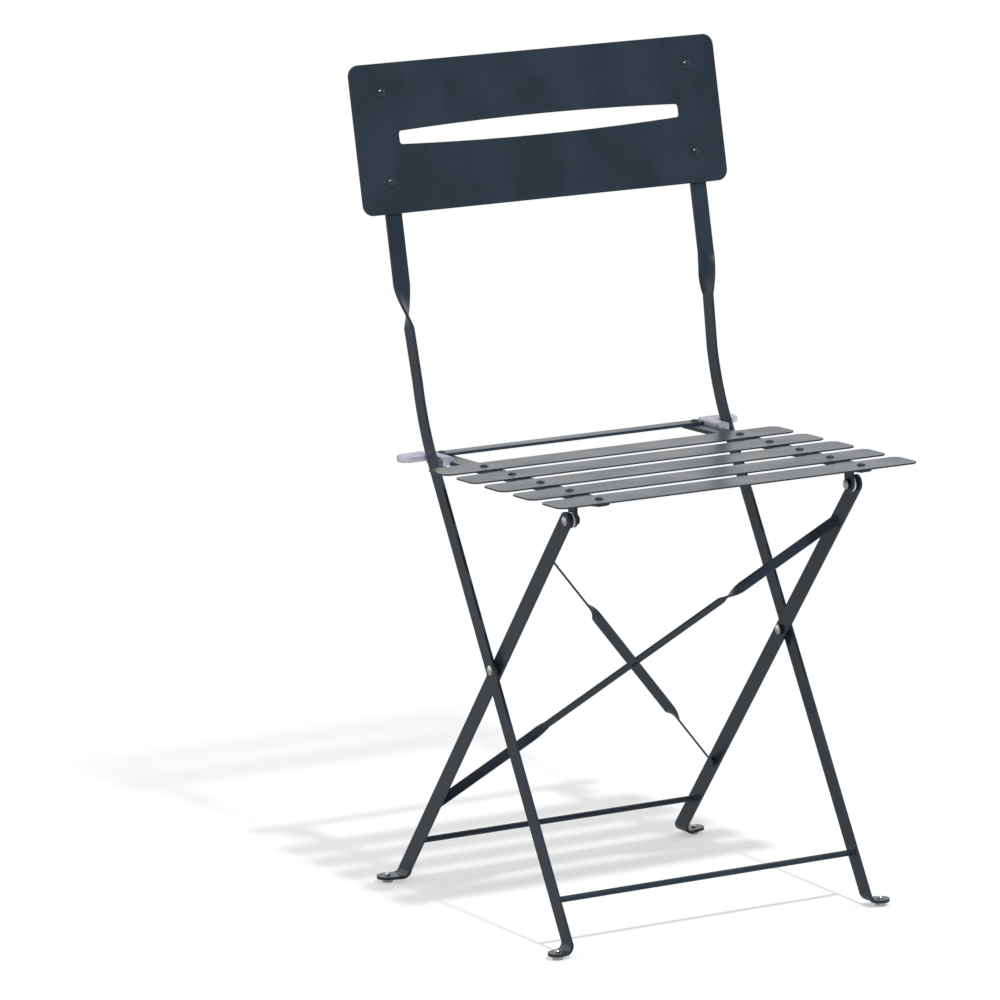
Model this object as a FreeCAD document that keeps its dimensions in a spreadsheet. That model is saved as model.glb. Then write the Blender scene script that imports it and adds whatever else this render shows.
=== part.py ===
# Folding garden chair of flat steel strap.
#
# Chair frame: millimetres, +Z up, +X to the sitter's left, -Y the way the sitter faces.
# The origin lies on the floor under the middle of the chair.
# Side view of the chair standing open:
# the front legs rise and lean back, bend at seat height and carry on as the back posts,
# the rear legs cross them at the leg pivot and end in an eye at the seat pivot,
# the seat turns on that pivot and its rear bar passes behind the back posts.
import FreeCAD, Part
import math
import os

import Sketcher

doc = FreeCAD.newDocument("FoldingGardenChair")
V = FreeCAD.Vector
nodes = []

# Driving sizes, in millimetres and degrees
SIZES = (
    ("overall_height", 820, "floor to the top edge of the back panel"),
    ("upright_face", 165.7, "middle of the chair to the outer face of a front leg"),
    ("strap_width", 17, "leg strap"),
    ("strap_gauge", 3, "leg strap"),
    ("front_lean", 30, "front leg from the vertical"),
    ("back_lean", 10.2, "back post from the vertical"),
    ("back_bend_height", 473, "corner between front leg and back post"),
    ("back_bend_radius", 240, "on the strap's centre line"),
    ("post_splay", 2.3, "back post outward, from the bend to the twist"),
    ("twist_height", 566, "start of the quarter twist below the panel"),
    ("twist_length", 42, "along the back post"),
    ("post_end_inset", 16, "end of the back post below the panel's top edge"),
    ("pivot_height", 252, "leg pivot above the floor"),
    ("pivot_spacing", 224.6, "leg pivot to seat pivot"),
    ("rear_lean", 41.66, "rear leg from the vertical"),
    ("leg_gap", 3.5, "between front and rear leg at their pivot"),
    ("lug_gap", 4.7, "between rear leg and seat lug"),
    ("running_gap", 0.1, "beside a piece that turns"),
    ("fit_clearance", 0.05, "radial, rivet in its hole"),
    ("pivot_rivet_radius", 3, "shank of the leg and seat pivot rivets"),
    ("pivot_head_radius", 4.8, "head of the leg and seat pivot rivets"),
    ("pivot_head_height", 2, "head of the leg and seat pivot rivets"),
    ("pivot_washer_radius", 7.5, "rings at both pivots"),
    ("seat_ring_gauge", 1.6, "white ring beside the seat lug"),
    ("spacer_radius", 7, "dark spacer between that ring and the rear leg"),
    ("collar_radius", 5, "dark washer under the upset end of a pivot rivet"),
    ("collar_gauge", 2.6, "dark washer under the upset end of a pivot rivet"),
    ("foot_bend_radius", 6, "inside, where the strap turns out to the foot tab"),
    ("foot_skew", 16, "lean of the foot tab from square outward"),
    ("front_foot_reach", 11.9, "leg's outer face to the foot rivet"),
    ("rear_foot_reach", 15.6, "leg's outer face to the foot rivet"),
    ("foot_pad_height", 4, "nylon button"),
    ("foot_pad_radius", 5.2, "nylon button"),
    ("foot_rivet_radius", 2, "shank"),
    ("foot_head_radius", 2.8, "head on the tab"),
    ("foot_head_height", 2.7, "head on the tab"),
    ("foot_recess_radius", 3.8, "under the button"),
    ("foot_recess_depth", 1.8, "under the button"),
    ("front_rod_height", 49.6, "front stretcher above the floor"),
    ("rear_rod_height", 46.6, "rear stretcher above the floor"),
    ("rod_radius", 3, "stretchers"),
    ("panel_width", 404.4, "back panel"),
    ("panel_height", 146.3, "back panel, along its slope"),
    ("panel_gauge", 2, "back panel"),
    ("panel_corner", 11, "radius"),
    ("panel_rivet_side_inset", 32.9, "panel's side edge to a rivet"),
    ("panel_rivet_inset", 29, "upper rivet below the panel's top edge"),
    ("panel_rivet_pitch", 87.3, "upper to lower rivet"),
    ("panel_rivet_radius", 2, "shank"),
    ("panel_head_radius", 4.6, "painted dome"),
    ("panel_head_height", 1.9, "painted dome"),
    ("slot_side_inset", 47.2, "panel's side edge to the hand slot"),
    ("slot_middle_height", 20.4, "hand slot"),
    ("slot_end_height", 13, "hand slot"),
    ("slot_corner", 3, "radius"),
    ("seat_rise", 0.6, "seat slope, front edge up, in degrees"),
    ("seat_depth_above_pivot", 22.5, "seat pivot to the top of the side rails"),
    ("rail_width", 19.6, "side rail"),
    ("rail_gauge", 4, "side rail"),
    ("lug_gauge", 3, "seat lug"),
    ("lug_radius", 7.2, "seat lug"),
    ("slat_count", 5, "seat slats"),
    ("slat_pitch", 57.5, "seat slats"),
    ("slat_width", 42, "seat slats"),
    ("slat_half_length", 194, "seat slats"),
    ("slat_gauge", 1.5, "seat slats"),
    ("slat_corner", 9, "radius"),
    ("front_slat_reach", 36.6, "seat pivot forward to the middle of the front slat"),
    ("seat_rivet_radius", 2.2, "shank of the slat and crossbar rivets"),
    ("seat_head_radius", 4.3, "mushroom head"),
    ("seat_head_height", 2, "mushroom head"),
    ("crossbar_overhang", 15.5, "bar end beyond the front leg's outer face"),
    ("crossbar_gauge", 3, "rear bar of the seat, as wide as the leg strap"),
    ("seat_rest_gap", 2.6, "upright's rear edge to the glide, seat open"),
    ("glide_wall", 2, "nylon sleeve on the crossbar"),
    ("glide_end_wall", 7.6, "bar's end to the tip of the sleeve's round end"),
    ("glide_corner", 2.4, "radius"),
    ("glide_fit", 0.1, "sleeve round the bar"),
    ("glide_side_gap", 0.4, "cheek beside the upright"),
    ("ledge_side_gap", 3.5, "ledge beside the upright, so that it passes the twist"),
    ("cheek_reach", 38.5, "crossbar's middle to the front of the cheek"),
    ("cheek_seat", 3.9, "width of the cheek on the rail"),
    ("web_reach", 17, "crossbar's middle to the front of the cheek's wide part"),
    ("ledge_height", 8.8, "part of the cheek above the stop stud"),
    ("stud_radius", 3, "stop stud"),
    ("stud_length", 9.5, "stop stud"),
    ("stud_gap", 0.3, "stop stud below the ledge, seat open"),
    ("brace_width", 10, "crossed braces"),
    ("brace_gauge", 2, "crossed braces"),
    ("brace_head_reach", 55, "seat pivot down the rear leg to the upper brace end"),
    ("brace_foot_reach", 440, "seat pivot down the rear leg to the lower brace end"),
    ("brace_lean", 11, "on-edge end from square to the rear frame, in degrees"),
    ("brace_flat_half", 108, "crossing to the start of a twist"),
    ("brace_twist", 24, "length of a twist"),
    ("brace_rivet_radius", 2, "shank"),
    ("brace_head_radius", 3.6, "head"),
    ("brace_head_height", 1.4, "head"),
)

# Places worked out from the sizes.
# Seat places are measured along and square to the seat from the seat pivot.
PLACES = (
    ("upright_inner", "upright_face - strap_gauge"),
    ("leg_outer", "#upright_inner - leg_gap"),
    ("leg_inner", "#leg_outer - strap_gauge"),
    ("lug_outer", "#leg_inner - lug_gap"),
    ("lug_inner", "#lug_outer - lug_gauge"),
    ("rail_x", "#lug_outer - rail_width / 2"),
    ("seat_ring_inner", "#lug_outer + running_gap"),
    ("seat_ring_outer", "#seat_ring_inner + seat_ring_gauge"),
    ("pivot_across", "pivot_spacing * sin(rear_lean)"),
    ("pivot_up", "pivot_spacing * cos(rear_lean)"),
    ("fold_height", "foot_pad_height + strap_gauge + foot_bend_radius"),
    ("fold_advance", "(foot_bend_radius + strap_gauge / 2) * pi / 2 * tan(foot_skew)"),
    ("front_half", "strap_width / 2 / cos(front_lean)"),
    ("rear_half", "strap_width / 2 / cos(rear_lean)"),
    ("front_toe_radius", "#front_half * cos(foot_skew)"),
    ("rear_toe_radius", "#rear_half * cos(foot_skew)"),
    ("front_toe_shift", "#fold_advance + (front_foot_reach - foot_bend_radius) * tan(foot_skew)"),
    ("rear_toe_shift", "#fold_advance + (rear_foot_reach - foot_bend_radius) * tan(foot_skew)"),
    ("front_edge", "#pivot_across + (front_slat_reach + slat_width / 2) * cos(seat_rise)"
                   " - seat_depth_above_pivot * sin(seat_rise)"),
    ("rear_edge", "(pivot_height - #fold_height) * tan(rear_lean) + #rear_toe_shift + #rear_toe_radius"),
    ("pivot_y", "(#front_edge - #rear_edge) / 2"),
    ("seat_y", "#pivot_y - #pivot_across"),
    ("seat_z", "pivot_height + #pivot_up"),
    ("front_foot_y", "#pivot_y - (pivot_height - #fold_height) * tan(front_lean)"),
    ("rear_foot_y", "#pivot_y + (pivot_height - #fold_height) * tan(rear_lean)"),
    ("front_toe_x", "upright_face + front_foot_reach"),
    ("front_toe_y", "#front_foot_y - #front_toe_shift"),
    ("rear_toe_x", "#leg_outer + rear_foot_reach"),
    ("rear_toe_y", "#rear_foot_y + #rear_toe_shift"),
    ("bend_y", "#pivot_y + (back_bend_height - pivot_height) * tan(front_lean)"),
    ("bend_tangent", "back_bend_radius * tan((front_lean - back_lean) / 2)"),
    ("bend_start_y", "#bend_y - #bend_tangent * sin(front_lean)"),
    ("bend_start_z", "back_bend_height - #bend_tangent * cos(front_lean)"),
    ("bend_end_y", "#bend_y + #bend_tangent * sin(back_lean)"),
    ("bend_end_z", "back_bend_height + #bend_tangent * cos(back_lean)"),
    ("twist_y", "#bend_y + (twist_height - back_bend_height) * tan(back_lean)"),
    ("upright_middle", "#upright_inner + strap_gauge / 2"),
    ("splayed_middle", "#upright_middle + post_splay"),
    ("post_top", "(overall_height - twist_height - (strap_gauge / 2 + panel_gauge) * sin(back_lean))"
                 " / cos(back_lean)"),
    ("panel_middle", "#post_top - panel_height / 2"),
    ("panel_rivet_x", "panel_width / 2 - panel_rivet_side_inset"),
    ("slot_half_length", "panel_width / 2 - slot_side_inset"),
    ("panel_y", "#twist_y + #panel_middle * sin(back_lean) - strap_gauge / 2 * cos(back_lean)"),
    ("panel_z", "twist_height + #panel_middle * cos(back_lean) + strap_gauge / 2 * sin(back_lean)"),
    ("panel_rivet_y", "panel_height / 2 - panel_rivet_inset - panel_rivet_pitch"),
    ("slat_top", "seat_depth_above_pivot + slat_gauge"),
    ("crossbar_top", "seat_depth_above_pivot + crossbar_gauge"),
    ("sleeve_top", "#crossbar_top + glide_wall"),
    ("sleeve_front", "((seat_rest_gap + strap_width / 2) / cos(front_lean) + #pivot_across"
                     " - #sleeve_top * sin(seat_rise)"
                     " + (#pivot_up + #sleeve_top * cos(seat_rise)) * tan(front_lean))"
                     " / (cos(seat_rise) + sin(seat_rise) * tan(front_lean))"),
    ("crossbar_reach", "#sleeve_front + glide_wall + strap_width / 2"),
    ("crossbar_half", "upright_face + crossbar_overhang"),
    ("cheek_inner", "#lug_outer - cheek_seat"),
    ("ledge_bottom", "#sleeve_top - ledge_height"),
    ("sleeve_half", "strap_width / 2 + glide_wall"),
    ("stud_rise", "#ledge_bottom - stud_gap - stud_radius"),
    ("stud_reach", "(#pivot_across - #stud_rise * sin(seat_rise)"
                   " + (#pivot_up + #stud_rise * cos(seat_rise)) * tan(front_lean))"
                   " / (cos(seat_rise) + sin(seat_rise) * tan(front_lean))"),
    ("stud_y", "#seat_y + #stud_reach * cos(seat_rise) + #stud_rise * sin(seat_rise)"),
    ("stud_z", "#seat_z - #stud_reach * sin(seat_rise) + #stud_rise * cos(seat_rise)"),
    ("brace_rise", "(brace_foot_reach - brace_head_reach) / 2"),
    ("brace_angle", "atan(#brace_rise / #leg_inner) / 1deg"),
    ("brace_half", "sqrt(#leg_inner * #leg_inner + #brace_rise * #brace_rise)"),
    ("brace_middle", "(brace_foot_reach + brace_head_reach) / 2"),
    ("brace_y", "#seat_y + #brace_middle * sin(rear_lean)"),
    ("brace_z", "#seat_z - #brace_middle * cos(rear_lean)"),
)

SIZE_NAMES = {name for name, amount, note in SIZES}

# Sections along each quarter twist
TWIST_STATIONS = 7
QUARTER_TURN = 90


def spelled(text):
    """Spell out a formula: #name is a worked place, a bare size name is a driving size."""
    words = []
    word = ""
    for letter in text + " ":
        if letter.isalnum() or letter in "_#":
            word += letter
            continue
        if word.startswith("#"):
            word = "Places." + word[1:]
        elif word in SIZE_NAMES:
            word = "Sizes." + word
        words.append(word + letter)
        word = ""
    return "".join(words).strip()


def fill_sheets():
    """Write the driving sizes as plain numbers and the worked places as formulas."""
    sizes = doc.addObject("Spreadsheet::Sheet", "Sizes")
    for line, (name, amount, note) in enumerate(SIZES, 1):
        sizes.set("A%d" % line, name + ": " + note)
        sizes.set("B%d" % line, str(amount))
        sizes.setAlias("B%d" % line, name)
    doc.recompute()
    places = doc.addObject("Spreadsheet::Sheet", "Places")
    for line, (name, formula) in enumerate(PLACES, 1):
        places.set("A%d" % line, name)
        places.set("B%d" % line, "=" + spelled(formula))
        places.setAlias("B%d" % line, name)
    doc.recompute()
    return sizes


sheet = fill_sheets()


def number(text):
    """The value of a formula, as a plain number."""
    return float(sheet.evalExpression(spelled(text)))


# Drawing helpers

def plane_of(body, role):
    return [item for item in body.Origin.OriginFeatures if item.Role == role][0]


def new_body(name, placement=None):
    """A body that is kept as a node under this name."""
    body = doc.addObject("PartDesign::Body", name)
    body.Label = name
    if placement:
        body.setExpression("Placement", spelled(placement))
    nodes.append(body)
    return body


def new_sketch(body, role, across="0", up="0", out="0", turn=None):
    """A sketch on one of the body's planes, moved in that plane, out of it, and turned about its X axis."""
    sketch = body.newObject("Sketcher::SketchObject", body.Name + "_sketch")
    sketch.AttachmentSupport = [(plane_of(body, role), "")]
    sketch.MapMode = "FlatFace"
    if turn:
        sketch.AttachmentOffset = FreeCAD.Placement(V(0, 0, 0), FreeCAD.Rotation(V(1, 0, 0), number(turn)))
        sketch.setExpression("AttachmentOffset.Rotation.Angle", "(" + spelled(turn) + ") * 1deg")
    for letter, amount in (("x", across), ("y", up), ("z", out)):
        if amount != "0":
            sketch.setExpression("AttachmentOffset.Base." + letter, spelled(amount))
    return sketch


def fix_point(sketch, index, tip, across, up):
    """Hold one point of the sketch at two formulas."""
    for kind, formula in (("DistanceX", across), ("DistanceY", up)):
        held = sketch.addConstraint(Sketcher.Constraint(kind, -1, 1, index, tip, number(formula)))
        sketch.setExpression("Constraints[%d]" % held, spelled(formula))


def outline(sketch, *corners):
    """A closed outline through corners (across, up).

    A corner (across, up, radius, side) is reached along an arc of that radius.
    Its centre lies to the left of the way for side 1 and to the right for side -1.
    """
    ends = [(number(corner[0]), number(corner[1])) for corner in corners]
    sides = []
    for place, corner in enumerate(corners):
        (x0, y0), (x1, y1) = ends[place - 1], ends[place]
        if len(corner) == 2:
            sides.append((sketch.addGeometry(Part.LineSegment(V(x0, y0, 0), V(x1, y1, 0)), False), 1, 2))
            continue
        radius = number(corner[2])
        chord = math.hypot(x1 - x0, y1 - y0)
        rise = corner[3] * math.sqrt(max(radius ** 2 - chord ** 2 / 4, 0)) / chord
        cx = (x0 + x1) / 2 - (y1 - y0) * rise
        cy = (y0 + y1) / 2 + (x1 - x0) * rise
        first = math.atan2(y0 - cy, x0 - cx)
        last = math.atan2(y1 - cy, x1 - cx)
        if corner[3] < 0:
            first, last = last, first
        if last < first:
            last += 2 * math.pi
        arc = Part.ArcOfCircle(Part.Circle(V(cx, cy, 0), V(0, 0, 1), radius), first, last)
        tips = (1, 2) if corner[3] > 0 else (2, 1)
        sides.append((sketch.addGeometry(arc, False),) + tips)
    for place, (index, start, end) in enumerate(sides):
        following = sides[(place + 1) % len(sides)]
        sketch.addConstraint(Sketcher.Constraint("Coincident", index, end, following[0], following[1]))
    for corner, (index, start, end) in zip(corners, sides):
        fix_point(sketch, index, end, corner[0], corner[1])
        if len(corner) > 2:
            held = sketch.addConstraint(Sketcher.Constraint("Radius", index, number(corner[2])))
            sketch.setExpression("Constraints[%d]" % held, spelled(corner[2]))


def rectangle(sketch, left, right, bottom, top):
    outline(sketch, (left, bottom), (right, bottom), (right, top), (left, top))


def circle(sketch, across, up, radius):
    middle = V(number(across), number(up), 0)
    index = sketch.addGeometry(Part.Circle(middle, V(0, 0, 1), number(radius)), False)
    fix_point(sketch, index, 3, across, up)
    held = sketch.addConstraint(Sketcher.Constraint("Radius", index, number(radius)))
    sketch.setExpression("Constraints[%d]" % held, spelled(radius))


def pad(body, sketch, length, symmetric=False):
    feature = body.newObject("PartDesign::Pad", body.Name + "_pad")
    feature.Profile = sketch
    feature.SideType = "Symmetric" if symmetric else "One side"
    feature.Length = number(length)
    feature.setExpression("Length", spelled(length))
    doc.recompute()
    return feature


def pocket(body, sketch, length=None):
    """Cut the sketch's shape right through, or this deep against the sketch's normal."""
    before = body.Shape.Volume
    feature = body.newObject("PartDesign::Pocket", body.Name + "_pocket")
    feature.Profile = sketch
    if length:
        feature.SideType = "One side"
        feature.Length = number(length)
        feature.setExpression("Length", spelled(length))
        feature.Reversed = True
    else:
        feature.Type = "ThroughAll"
        feature.SideType = "Symmetric"
    doc.recompute()
    if not body.Shape.Volume < before:
        raise RuntimeError("a pocket in %s cuts nothing" % body.Label)
    return feature


def hole(body, role, across, up, radius):
    """A round hole right through the body, square to one of its planes."""
    drill = new_sketch(body, role)
    circle(drill, across, up, radius)
    return pocket(body, drill)


def round_corners(body, feature, radius):
    """Round the upright edges of a plate that was padded along its own Z axis."""
    names = []
    for place, edge in enumerate(feature.Shape.Edges, 1):
        way = edge.tangentAt(edge.FirstParameter)
        if abs(way.z) > 0.999:
            names.append("Edge%d" % place)
    fillet = body.newObject("PartDesign::Fillet", body.Name + "_fillet")
    fillet.Base = (feature, names)
    fillet.Radius = number(radius)
    fillet.setExpression("Radius", spelled(radius))
    doc.recompute()
    return fillet


def loft(body, sections):
    feature = body.newObject("PartDesign::AdditiveLoft", body.Name + "_loft")
    feature.Profile = sections[0]
    feature.Sections = sections[1:]
    doc.recompute()
    return feature


def twist_shares():
    """The share of a quarter twist at each section, and the same share eased at both ends."""
    for station in range(TWIST_STATIONS):
        share = station / (TWIST_STATIONS - 1)
        yield share, 3 * share ** 2 - 2 * share ** 3


def turned_section(sketch, middle_across, middle_up, width, gauge, turn):
    """A strap's section, its width along the sketch's Y axis and turned anticlockwise by this angle."""
    corners = []
    for along, aside in ((-0.5, -0.5), (-0.5, 0.5), (0.5, 0.5), (0.5, -0.5)):
        across = "%s - (%s) * %g * sin(%s) - (%s) * %g * cos(%s)"
        up = "%s + (%s) * %g * cos(%s) - (%s) * %g * sin(%s)"
        corners.append((across % (middle_across, width, along, turn, gauge, aside, turn),
                        up % (middle_up, width, along, turn, gauge, aside, turn)))
    outline(sketch, *corners)


def mirrored(source, name):
    """The same piece on the sitter's right."""
    twin = doc.addObject("Part::Mirroring", name)
    twin.Label = name
    twin.Source = source
    twin.Base = (0, 0, 0)
    twin.Normal = (1, 0, 0)
    nodes.append(twin)
    return twin


def rivet_profile(body, grip, shank, head, head_rise, across="0", up="0", out="0", tail="", tail_rise=""):
    """A rivet about the sketch's V axis: its head sits on the sketch's U axis and its shank runs down."""
    tail = tail or head
    tail_rise = tail_rise or head_rise
    sketch = new_sketch(body, "XZ_Plane", across, up, out)
    dome = "((%s) * (%s) + (%s) * (%s)) / 2 / (%s)"
    outline(sketch,
            ("0", "-(%s) - (%s)" % (grip, tail_rise)),
            (tail, "-(%s)" % grip, dome % (tail, tail, tail_rise, tail_rise, tail_rise), 1),
            (shank, "-(%s)" % grip),
            (shank, "0"),
            (head, "0"),
            ("0", head_rise, dome % (head, head, head_rise, head_rise, head_rise), 1))
    return sketch


def turned(body, sketch):
    feature = body.newObject("PartDesign::Revolution", body.Name + "_turned")
    feature.Profile = sketch
    feature.ReferenceAxis = (sketch, ["V_Axis"])
    feature.Angle = 360
    doc.recompute()
    return feature


def both_sides(body, feature):
    """A second solid of the same node on the sitter's right."""
    twin = body.newObject("PartDesign::Mirrored", body.Name + "_mirrored")
    twin.Originals = [feature]
    twin.MirrorPlane = (plane_of(body, "YZ_Plane"), [""])
    body.Tip = twin
    doc.recompute()
    return twin


def rows_on_both_sides(body, feature, count, spacing):
    """The feature repeated along Y, and those rows again on the sitter's right."""
    rows = body.newObject("PartDesign::MultiTransform", body.Name + "_rows")
    rows.Originals = [feature]
    line = body.newObject("PartDesign::LinearPattern", body.Name + "_line")
    line.Direction = (plane_of(body, "Y_Axis"), [""])
    line.Mode = "Spacing"
    line.Occurrences = int(number(count))
    line.setExpression("Occurrences", spelled(count))
    line.setExpression("Offset", spelled(spacing))
    twin = body.newObject("PartDesign::Mirrored", body.Name + "_mirrored")
    twin.MirrorPlane = (plane_of(body, "YZ_Plane"), [""])
    rows.Transformations = [line, twin]
    body.Tip = rows
    doc.recompute()
    return rows


def cylinder(name, radius, length, placement):
    piece = doc.addObject("Part::Cylinder", name)
    piece.Label = name
    piece.setExpression("Radius", spelled(radius))
    piece.setExpression("Height", spelled(length))
    piece.setExpression("Placement", spelled(placement))
    return piece


def along_x(x, y, z):
    """Placement of a turned piece whose axis runs across the chair."""
    return "placement(vector(%s; %s; %s); rotation(vector(0; 1; 0); 90))" % (x, y, z)


SEAT_FRAME = "placement(vector(0; #seat_y; #seat_z); rotation(vector(1; 0; 0); -seat_rise))"
BACK_FRAME = "placement(vector(0; #panel_y; #panel_z); rotation(vector(1; 0; 0); 90 - back_lean))"
LEG_ANGLE = "rotation(vector(1; 0; 0); rear_lean - 90)"
CROSSING = "vector(0; #brace_y; #brace_z)"


# Feet: each leg strap turns outward near the floor and ends in a round tab

def foot(body, face, foot_y, half, toe_x, toe_y, toe_radius, way):
    """Bend and tab. The way is -1 where the tab leans forward and 1 where it leans back."""
    axis = "%s + foot_bend_radius" % face
    section = new_sketch(body, "XY_Plane", axis, foot_y, "#fold_height")
    rectangle(section, "-foot_bend_radius - strap_gauge", "-foot_bend_radius", "-%s" % half, half)
    bend = body.newObject("PartDesign::AdditiveHelix", body.Name + "_fold")
    bend.Profile = section
    bend.ReferenceAxis = (section, ["V_Axis"])
    bend.Mode = "height-turns-angle"
    bend.Turns = 0.25
    bend.Height = number("#fold_advance")
    bend.setExpression("Height", spelled("#fold_advance"))
    bend.Reversed = way < 0
    bend.LeftHanded = way > 0
    doc.recompute()
    sign = "+" if way > 0 else "-"
    back = "-" if way > 0 else "+"
    start = "%s %s #fold_advance" % (foot_y, sign)
    aside = "%s * sin(foot_skew)" % toe_radius
    along = "%s * cos(foot_skew)" % toe_radius
    tab = new_sketch(body, "XY_Plane", out="foot_pad_height")
    outline(tab,
            (axis, "%s - %s" % (start, half)),
            ("%s %s %s" % (toe_x, sign, aside), "%s - %s" % (toe_y, along)),
            ("%s %s %s" % (toe_x, back, aside), "%s + %s" % (toe_y, along)),
            (axis, "%s + %s" % (start, half)))
    pad(body, tab, "strap_gauge")
    toe = new_sketch(body, "XY_Plane", out="foot_pad_height")
    circle(toe, toe_x, toe_y, toe_radius)
    pad(body, toe, "strap_gauge")
    hole(body, "XY_Plane", toe_x, toe_y, "foot_rivet_radius + fit_clearance")


def foot_pieces(end, toe_x, toe_y):
    """Nylon buttons under the tabs and the rivets that hold them."""
    button = new_body(end + "_foot_glide_left")
    blank = new_sketch(button, "XY_Plane")
    circle(blank, toe_x, toe_y, "foot_pad_radius")
    pad(button, blank, "foot_pad_height")
    recess = new_sketch(button, "XY_Plane")
    circle(recess, toe_x, toe_y, "foot_recess_radius")
    pocket(button, recess, "foot_recess_depth")
    hole(button, "XY_Plane", toe_x, toe_y, "foot_rivet_radius + fit_clearance")
    mirrored(button, end + "_foot_glide_right")
    rivets = new_body(end + "_foot_rivets")
    grip = "strap_gauge + foot_pad_height - foot_recess_depth"
    profile = rivet_profile(rivets, grip, "foot_rivet_radius", "foot_head_radius", "foot_head_height",
                            toe_x, "foot_pad_height + strap_gauge", "-(%s)" % toe_y,
                            tail_rise="foot_recess_depth / 2")
    both_sides(rivets, turned(rivets, profile))


# Front frame: leg and back post in one strap

def upright():
    """Strap on edge to the sitter up to the twist, then flat behind the panel.

    Above the bend it leans outward a little.
    """
    body = new_body("upright_left")
    side = new_sketch(body, "YZ_Plane", out="#upright_inner")
    half = "strap_width / 2"

    def behind(y, z, lean):
        return ("%s + %s * cos(%s)" % (y, half, lean), "%s - %s * sin(%s)" % (z, half, lean))

    def before(y, z, lean):
        return ("%s - %s * cos(%s)" % (y, half, lean), "%s + %s * sin(%s)" % (z, half, lean))

    outline(side,
            ("#front_foot_y - #front_half", "#fold_height"),
            ("#front_foot_y + #front_half", "#fold_height"),
            behind("#bend_start_y", "#bend_start_z", "front_lean"),
            behind("#bend_end_y", "#bend_end_z", "back_lean") + ("back_bend_radius + %s" % half, 1),
            before("#bend_end_y", "#bend_end_z", "back_lean"),
            before("#bend_start_y", "#bend_start_z", "front_lean") + ("back_bend_radius - %s" % half, -1))
    pad(body, side, "strap_gauge")
    ends = []
    for middle, y, z in (("#upright_middle", "#bend_end_y", "#bend_end_z"),
                         ("#splayed_middle", "#twist_y", "twist_height")):
        end = new_sketch(body, "XY_Plane", "0", y, z, "-back_lean")
        turned_section(end, middle, "0", "strap_width", "strap_gauge", "0")
        ends.append(end)
    loft(body, ends)
    sections = []
    for share, eased in twist_shares():
        section = new_sketch(body, "XY_Plane", "0",
                             "#twist_y + twist_length * %g * sin(back_lean)" % share,
                             "twist_height + twist_length * %g * cos(back_lean)" % share,
                             "-back_lean")
        turned_section(section, "#splayed_middle + (#panel_rivet_x - #splayed_middle) * %g" % eased, "0",
                       "strap_width", "strap_gauge", "%g" % (QUARTER_TURN * share))
        sections.append(section)
    loft(body, sections)
    post = new_sketch(body, "XY_Plane", "0",
                      "#twist_y + twist_length * sin(back_lean)",
                      "twist_height + twist_length * cos(back_lean)", "-back_lean")
    rectangle(post, "#panel_rivet_x - strap_width / 2", "#panel_rivet_x + strap_width / 2",
              "-strap_gauge / 2", "strap_gauge / 2")
    pad(body, post, "#post_top - post_end_inset - twist_length")
    foot(body, "upright_face", "#front_foot_y", "#front_half", "#front_toe_x", "#front_toe_y",
         "#front_toe_radius", -1)
    hole(body, "YZ_Plane", "#pivot_y", "pivot_height", "pivot_rivet_radius + fit_clearance")
    for row in ("0", "panel_rivet_pitch"):
        drill = new_sketch(body, "XZ_Plane", "#panel_rivet_x",
                           "#panel_z + (#panel_rivet_y + %s) * cos(back_lean)" % row,
                           "-(#panel_y) - (#panel_rivet_y + %s) * sin(back_lean)" % row, "-back_lean")
        circle(drill, "0", "0", "panel_rivet_radius + fit_clearance")
        pocket(body, drill)
    mirrored(body, "upright_right")


def backrest_panel():
    """Thin sheet, rounded corners, lens-shaped hand slot."""
    body = new_body("backrest_panel", BACK_FRAME)
    blank = new_sketch(body, "XY_Plane")
    rectangle(blank, "-panel_width / 2", "panel_width / 2", "-panel_height / 2", "panel_height / 2")
    round_corners(body, pad(body, blank, "panel_gauge"), "panel_corner")
    slot = new_sketch(body, "XY_Plane")
    reach = "#slot_half_length - slot_corner"
    end = "slot_end_height / 2"
    bulge = "(slot_middle_height - slot_end_height) / 2"
    bow = "((%s) * (%s) + %s * %s) / 2 / (%s)" % (reach, reach, bulge, bulge, bulge)
    outline(slot,
            ("-(%s)" % reach, "-%s" % end, "slot_corner", 1),
            (reach, "-%s" % end, bow, 1),
            ("#slot_half_length", "-%s + slot_corner" % end, "slot_corner", 1),
            ("#slot_half_length", "%s - slot_corner" % end),
            (reach, end, "slot_corner", 1),
            ("-(%s)" % reach, end, bow, 1),
            ("-#slot_half_length", "%s - slot_corner" % end, "slot_corner", 1),
            ("-#slot_half_length", "-%s + slot_corner" % end))
    pocket(body, slot)
    for side in ("-", ""):
        for row in ("#panel_rivet_y", "#panel_rivet_y + panel_rivet_pitch"):
            hole(body, "XY_Plane", side + "#panel_rivet_x", row, "panel_rivet_radius + fit_clearance")


def backrest_rivets():
    """Painted domes on the panel, each through panel and post."""
    body = new_body("backrest_rivets", BACK_FRAME)
    profile = rivet_profile(body, "panel_gauge + strap_gauge", "panel_rivet_radius", "panel_head_radius",
                            "panel_head_height", "#panel_rivet_x", "panel_gauge", "-(#panel_rivet_y)")
    rows_on_both_sides(body, turned(body, profile), "2", "panel_rivet_pitch")


def stretcher(name, inner, y, height):
    rod = cylinder(name, "rod_radius", "2 * %s" % inner, along_x("-(%s)" % inner, y, height))
    nodes.append(rod)


def stop_studs():
    """Studs on the posts' inner faces that the seat's glides come down on."""
    stud = cylinder("stop_stud_left", "stud_radius", "stud_length",
                    along_x("#upright_inner - stud_length", "#stud_y", "#stud_z"))
    nodes.append(stud)
    mirrored(stud, "stop_stud_right")


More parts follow.
